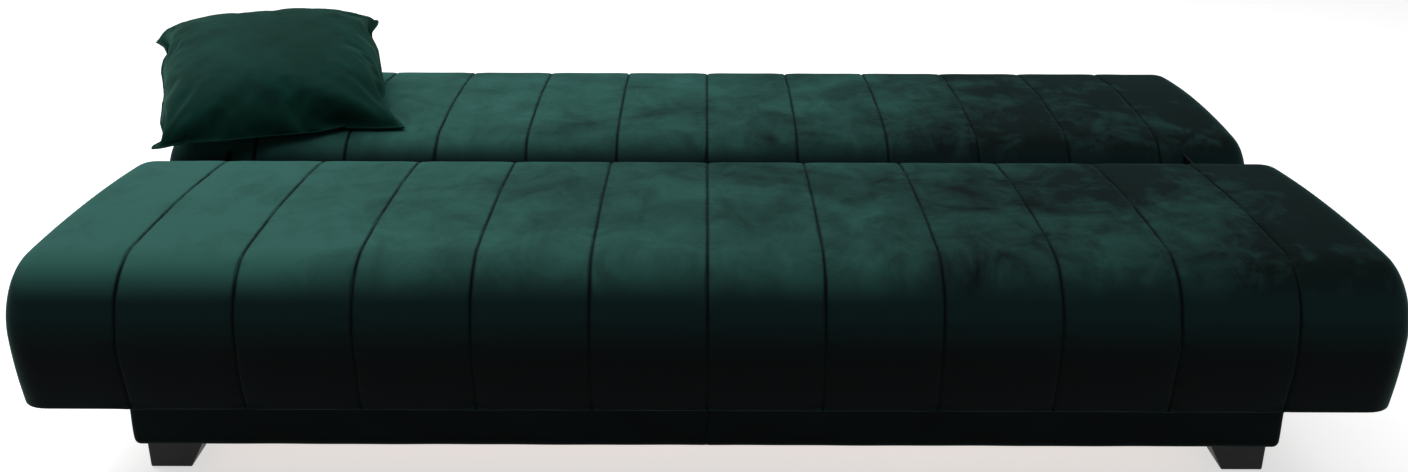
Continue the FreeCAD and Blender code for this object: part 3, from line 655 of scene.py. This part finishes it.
def box_fabric(side, sign):
    """Half of the velvet stretched round the bedding box, with the seam at mid-width."""
    low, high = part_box("base_cover_right")
    path = box_path(high.x, low.y, high.y)
    bottom = low.z - BOX_TUCK
    section = [(BOX_TURN, high.z + BOX_RISE), (2 * MM, high.z + 0.4 * MM), (0.5 * MM, high.z)]
    section += [(0.0, z) for z in np.linspace(high.z - 2 * MM, bottom + BOX_EDGE_R, BOX_ROWS)]
    for turn in np.radians((22, 45, 67, 90)):
        section.append((BOX_EDGE_R * (1 - math.cos(turn)),
                        bottom + BOX_EDGE_R * (1 - math.sin(turn)) - BOX_PROUD * math.sin(turn)))
    section.append((BOX_EDGE_R + 2 * MM, bottom - BOX_PROUD))
    section = np.array(section)
    gaps = np.linalg.norm(np.diff(path[:, :2], axis=0), axis=1)
    along = np.concatenate([[0], np.cumsum(gaps)])
    seam = np.exp(-np.minimum(along, along[-1] - along) / BOX_SEAM_REACH)
    height = section[:, 1]
    grid = np.zeros((len(section), len(path), 3))
    for c, (x, y, out_x, out_y) in enumerate(path):
        slack = BOX_SLACK * np.sin(along[c] * 21 + height * 60 * sign)
        slack += BOX_RIPPLE * np.sin(along[c] * 53 - height * 90)
        inward = section[:, 0] - BOX_PROUD * (1 - seam[c]) - slack
        grid[:, c] = np.stack([sign * (x - out_x * inward), y - out_y * inward, height], 1)
    sheet = Sheet(grid)
    piece = mesh_object("box_velvet_" + side, sheet.points, sheet.faces([sign > 0]), velvet_cloth)
    subdivide(piece)
    # the seam mark, for painted shade and crushed pile along the seam at mid-width
    mark = piece.data.attributes.new("seam", "FLOAT", "POINT")
    mark.data.foreach_set("value", np.exp(-(coords(piece)[:, 0] / SEAM_SHADE_HALF_WIDTH) ** 2))
    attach(piece, "base")
    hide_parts("base_cover_" + side)


# ------------------------------------------------------------------ materials
def object_place(tree):
    return add(tree, "TexCoord").outputs["Object"]


def shaded(tree, output, colour, roughness, bump=None, **uniform):
    """The shader at the end of each material: uniform values sit on its own sockets."""
    inputs = {"Base Color": colour, "Roughness": roughness}
    inputs.update({name.replace("_", " "): value for name, value in uniform.items()})
    if bump:
        inputs["Normal"] = bump.outputs[0]
    shader = add(tree, "BsdfPrincipled", inputs)
    tree.links.new(shader.outputs[0], output.inputs["Surface"])


def velvet_with_painted_light():
    """Short-pile polyester velvet on stitched wadding, mottled at random. Painted light and shade
    in its colour make it lighter at the left and darker at the right, dark on faces that stand
    up and darker still on faces that turn down. Its sheen glows along edges."""
    material, tree, output = blank("velvet_with_painted_light")
    coordinates = add(tree, "TexCoord")
    place = coordinates.outputs["Object"]
    where = add(tree, "SeparateXYZ", {"Vector": place})
    facing = add(tree, "SeparateXYZ", {"Vector": coordinates.outputs["Normal"]})

    # painted light and shade across the width: lighter towards the left, darker towards the right
    painted_light_across = add(tree, "MapRange", {"Value": where.outputs["X"], "From Min": -0.8,
                                     "From Max": 0.9, "To Min": 0.97, "To Max": -0.04})
    patch_at = add(tree, "Mapping", {"Vector": place, "Scale": (2.4, 3.4, 3.4)})
    patches = add(tree, "TexNoise", {"Vector": patch_at.outputs[0], "Scale": 1.0, "Detail": 7.0,
                                     "Roughness": 0.62, "Distortion": 0.8})
    patchy = add(tree, "MapRange", {"Value": patches.outputs["Fac"], "From Min": 0.33,
                                    "From Max": 0.67, "To Min": -0.24, "To Max": 0.24})
    mottle_at = add(tree, "Mapping", {"Vector": place, "Scale": (15.0, 10.0, 10.0)})
    mottles = add(tree, "TexNoise", {"Vector": mottle_at.outputs[0], "Scale": 1.0, "Detail": 6.0,
                                     "Roughness": 0.7, "Distortion": 0.6})
    mottled = add(tree, "MapRange", {"Value": mottles.outputs["Fac"], "From Min": 0.3,
                                     "From Max": 0.7, "To Min": -0.22, "To Max": 0.22})
    uneven = add(tree, "Math", {0: patchy.outputs[0], 1: mottled.outputs[0]}, operation="ADD")
    # random patches and mottling, added to the painted light and shade across the width
    mottle_and_painted_light = add(tree, "Math", {0: painted_light_across.outputs[0], 1: uneven.outputs[0]}, operation="ADD",
              use_clamp=True)

    # painted light on tops that face up, painted shade on upright faces and, darker, on faces that
    # turn down
    painted_top_light = add(tree, "MapRange", {"Value": facing.outputs["Z"], "From Min": 0.5,
                                   "From Max": 0.985, "To Min": 0.0, "To Max": 1.0},
                interpolation_type="SMOOTHSTEP")
    painted_face_shade = add(tree, "MapRange", {"Value": facing.outputs["Z"], "From Min": -0.05,
                                     "From Max": 0.45, "To Min": 0.0, "To Max": 1.0})
    # tops: painted shade (060f10) to painted light (34665e), following the painted gradient and
    # mottling
    lit = add(tree, "Mix", {"Factor": mottle_and_painted_light.outputs[0], 6: linear("060f10"), 7: linear("34665e")},
              data_type="RGBA")
    # painted shade on the faces: 020405 where they turn down, 0d2121 where they stand up
    face = add(tree, "Mix", {"Factor": painted_face_shade.outputs[0], 6: linear("020405"),
                             7: linear("0d2121")}, data_type="RGBA")
    # tops take the painted light colour, faces the painted shade colour
    pile = add(tree, "Mix", {"Factor": painted_top_light.outputs[0], 6: face.outputs[2], 7: lit.outputs[2]},
               data_type="RGBA")
    # painted shade in the seam folds, with crushed pile: near-black 020404 along the stitches
    seam = add(tree, "Attribute", attribute_name="seam")
    colour = add(tree, "Mix", {"Factor": seam.outputs["Fac"], 6: pile.outputs[2],
                               7: linear("020404")}, data_type="RGBA")
    tufts = add(tree, "TexNoise", {"Vector": place, "Scale": 1 / (1.8 * MM), "Detail": 2.0})
    bump = add(tree, "Bump", {"Height": tufts.outputs["Fac"], "Strength": 0.3,
                              "Distance": 0.4 * MM})
    shaded(tree, output, colour.outputs[2], 0.9, bump, IOR=1.45, Specular_IOR_Level=0.1,
           Sheen_Weight=0.3, Sheen_Roughness=0.35, Sheen_Tint=linear("6cb8b0"))
    return material


def smooth_velvet():
    """The pillow's velvet: the same pile without the painted light and shade, so it is even and
    deep, with a faint cloud of lighter and darker tone at random."""
    material, tree, output = blank("smooth_velvet")
    place = object_place(tree)
    clouds = add(tree, "TexNoise", {"Vector": place, "Scale": 9.0, "Detail": 5.0,
                                    "Roughness": 0.6, "Distortion": 0.6})
    cloudy = add(tree, "MapRange", {"Value": clouds.outputs["Fac"], "From Min": 0.3,
                                    "From Max": 0.7, "To Min": 0.0, "To Max": 1.0})
    colour = add(tree, "Mix", {"Factor": cloudy.outputs[0], 6: linear("0e2f29"),
                               7: linear("15443b")}, data_type="RGBA")
    tufts = add(tree, "TexNoise", {"Vector": place, "Scale": 1 / (1.8 * MM), "Detail": 2.0})
    bump = add(tree, "Bump", {"Height": tufts.outputs["Fac"], "Strength": 0.3,
                              "Distance": 0.4 * MM})
    shaded(tree, output, colour.outputs[2], 0.9, bump, IOR=1.45, Specular_IOR_Level=0.1,
           Sheen_Weight=0.2, Sheen_Roughness=0.35, Sheen_Tint=linear("5fae98"))
    return material


def planed_pine(name, along):
    """Planed, unvarnished pine: pale wood with darker late-wood lines along the rail."""
    material, tree, output = blank(name)
    place = object_place(tree)
    stretch = [1 / (9 * MM)] * 3
    stretch[along] = 1 / (340 * MM)
    at = add(tree, "Mapping", {"Vector": place, "Scale": stretch})
    rings = add(tree, "TexNoise", {"Vector": at.outputs[0], "Scale": 1.0, "Detail": 3.0,
                                   "Distortion": 1.6})
    grain = add(tree, "MapRange", {"Value": rings.outputs["Fac"], "From Min": 0.38,
                                   "From Max": 0.62, "To Min": 0.0, "To Max": 1.0})
    colour = add(tree, "Mix", {"Factor": grain.outputs[0], 6: linear("d9b585"),
                               7: linear("b98a55")}, data_type="RGBA")
    bump = add(tree, "Bump", {"Height": rings.outputs["Fac"], "Strength": 0.3,
                              "Distance": 0.3 * MM})
    shaded(tree, output, colour.outputs[2], 0.62, bump, IOR=1.5)
    return material


def raw_chipboard():
    """Raw sanded chipboard: pressed flakes 3 to 6 mm wide in several browns."""
    material, tree, output = blank("raw_chipboard")
    place = object_place(tree)
    flakes = add(tree, "TexVoronoi", {"Vector": place, "Scale": 1 / (4.5 * MM),
                                      "Randomness": 1.0})
    tone = add(tree, "SeparateColor", {"Color": flakes.outputs["Color"]})
    colour = add(tree, "Mix", {"Factor": tone.outputs["Red"], 6: linear("8a6743"),
                               7: linear("c49f6d")}, data_type="RGBA")
    bump = add(tree, "Bump", {"Height": tone.outputs["Green"], "Strength": 0.3,
                              "Distance": 0.2 * MM})
    shaded(tree, output, colour.outputs[2], 0.8, bump, IOR=1.5)
    return material


def grained(name, dark, light, roughness, grain, depth, **uniform):
    """A finish whose colour clouds slowly and whose relief has the size of its grain, in mm."""
    material, tree, output = blank(name)
    place = object_place(tree)
    clouds = add(tree, "TexNoise", {"Vector": place, "Scale": 1 / (35 * grain * MM),
                                    "Detail": 4.0})
    cloudy = add(tree, "MapRange", {"Value": clouds.outputs["Fac"], "From Min": 0.3,
                                    "From Max": 0.7, "To Min": 0.0, "To Max": 1.0})
    colour = add(tree, "Mix", {"Factor": cloudy.outputs[0], 6: linear(dark), 7: linear(light)},
                 data_type="RGBA")
    relief = add(tree, "TexNoise", {"Vector": place, "Scale": 1 / (grain * MM), "Detail": 2.0})
    bump = add(tree, "Bump", {"Height": relief.outputs["Fac"], "Strength": 0.5,
                              "Distance": depth * MM})
    worn = add(tree, "MapRange", {"Value": cloudy.outputs[0], "To Min": roughness - 0.06,
                                  "To Max": roughness + 0.06})
    shaded(tree, output, colour.outputs[2], worn.outputs[0], bump, **uniform)
    return material


def spun_lining():
    """Spun-bonded polypropylene under the frames: matt black with rows of tiny weld dimples."""
    material, tree, output = blank("spun_lining")
    place = object_place(tree)
    dimples = add(tree, "TexVoronoi", {"Vector": place, "Scale": 1 / (2.2 * MM),
                                       "Randomness": 0.25})
    colour = add(tree, "Mix", {"Factor": dimples.outputs["Distance"], 6: linear("101011"),
                               7: linear("26272a")}, data_type="RGBA")
    bump = add(tree, "Bump", {"Height": dimples.outputs["Distance"], "Strength": 0.5,
                              "Distance": 0.2 * MM})
    shaded(tree, output, colour.outputs[2], 0.85, bump, IOR=1.49)
    return material


def dress(material, *names):
    for name in names:
        data = NODES[name].data
        data.materials.clear()
        data.materials.append(material)


def dress_frame():
    """Give each node that stays in view the finish of its slot."""
    # black zinc plate: dark grey metal, faintly clouded, softly rough
    zinc = grained("black_zinc_plate", "26282b", "36383c", 0.42, 0.5, 0.02, Metallic=1.0)
    # drawn wire: dark oiled steel
    wire = grained("oiled_wire", "3a3c3f", "55585c", 0.38, 0.4, 0.02, Metallic=1.0)
    # moulded polypropylene with a fine spark-eroded grain
    plastic = grained("moulded_plastic", "030304", "08090a", 0.5, 0.35, 0.05, IOR=1.49,
                      Specular_IOR_Level=0.3)
    # matt vulcanised rubber
    rubber = grained("matt_rubber", "131313", "202021", 0.85, 0.6, 0.08, IOR=1.52)
    # natural nylon: milky, slightly waxy
    nylon = grained("natural_nylon", "c9c6b8", "dedbce", 0.42, 0.6, 0.03, IOR=1.53)
    # hardboard: pressed fibres, brown and even
    hardboard = grained("hardboard", "5f4229", "7c5a3b", 0.7, 1.2, 0.15, IOR=1.5)
    pine_x = planed_pine("planed_pine_across", 0)
    pine_y = planed_pine("planed_pine_deep", 1)
    finishes = {
        "zinc_steel": zinc, "spring_steel": wire, "black_plastic": plastic, "rubber": rubber,
        "nylon": nylon, "hardboard": hardboard, "chipboard": raw_chipboard(),
        "lining": spun_lining(), "pine": pine_y,
    }
    for part in frame["record"]["subparts"]:
        finish = finishes.get(part["material_slot"])
        if finish:
            dress(finish, part["node"])
    for half in ("seat", "backrest"):
        dress(pine_x, half + "_outer_rail", half + "_hinge_side_rail")


velvet_cloth = velvet_with_painted_light()
pillow_cloth = smooth_velvet()
padded_half("seat", "seat", SEAT_SHAPE, -1, 0.0)
padded_half("backrest", "backrest", BACK_SHAPE, 1, 2.0)
loose_pillow()
box_fabric("left", -1)
box_fabric("right", 1)
dress_frame()


# ------------------------------------------------------------------ stage, lights, camera
def stage():
    half = FLOOR_HALF
    corners = [(-half, -half, 0), (half, -half, 0), (half, half, 0), (-half, half, 0)]
    floor = mesh_object("floor", corners, [(0, 1, 2, 3)])
    material, tree, output = blank("white_paper")
    shader = add(tree, "BsdfPrincipled", {
        "Base Color": linear("f4f4f4"), "Roughness": 0.9,
        "Emission Color": linear("ffffff"), "Emission Strength": 0.64,
    })
    tree.links.new(shader.outputs[0], output.inputs["Surface"])
    floor.data.materials.append(material)


def area_light(name, place, aim, size, power):
    light = bpy.data.lights.new(name, "AREA")
    light.shape = "RECTANGLE"
    light.size, light.size_y = size
    light.energy = power
    lamp = bpy.data.objects.new(name, light)
    lamp.location = place
    lamp.rotation_euler = (Vector(aim) - Vector(place)).to_track_quat("-Z", "Y").to_euler()
    bpy.context.scene.collection.objects.link(lamp)


def world():
    scene = bpy.context.scene
    scene.world = bpy.data.worlds.new("studio")
    scene.world.use_nodes = True
    background = scene.world.node_tree.nodes["Background"]
    background.inputs["Color"].default_value = (1, 1, 1, 1)
    background.inputs["Strength"].default_value = 0.1
    scene.view_settings.view_transform = "Standard"


def camera():
    """Standing in front at mid-width, looking down on the bed."""
    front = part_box("seat_cover")[0].y
    data = bpy.data.cameras.new("camera")
    data.sensor_width = 36
    data.lens = LENS
    eye = bpy.data.objects.new("camera", data)
    eye.location = (EYE_ASIDE, front - EYE_BACK, EYE_HEIGHT)
    eye.rotation_euler = (Matrix.Rotation(math.pi / 2 - math.radians(LOOK_DOWN), 3, "X") @
                          Matrix.Rotation(math.radians(LEAN), 3, "Z")).to_euler()
    bpy.context.scene.collection.objects.link(eye)
    bpy.context.scene.camera = eye


stage()
world()
area_light("window", place=(-2.2, 1.4, 2.6), aim=(-0.3, 0.0, 0.35), size=(3.0, 2.4), power=65)
area_light("ceiling", place=(0.6, 0.3, 3.4), aim=(0.6, -0.3, 0.0), size=(5.0, 4.0), power=70)
camera()
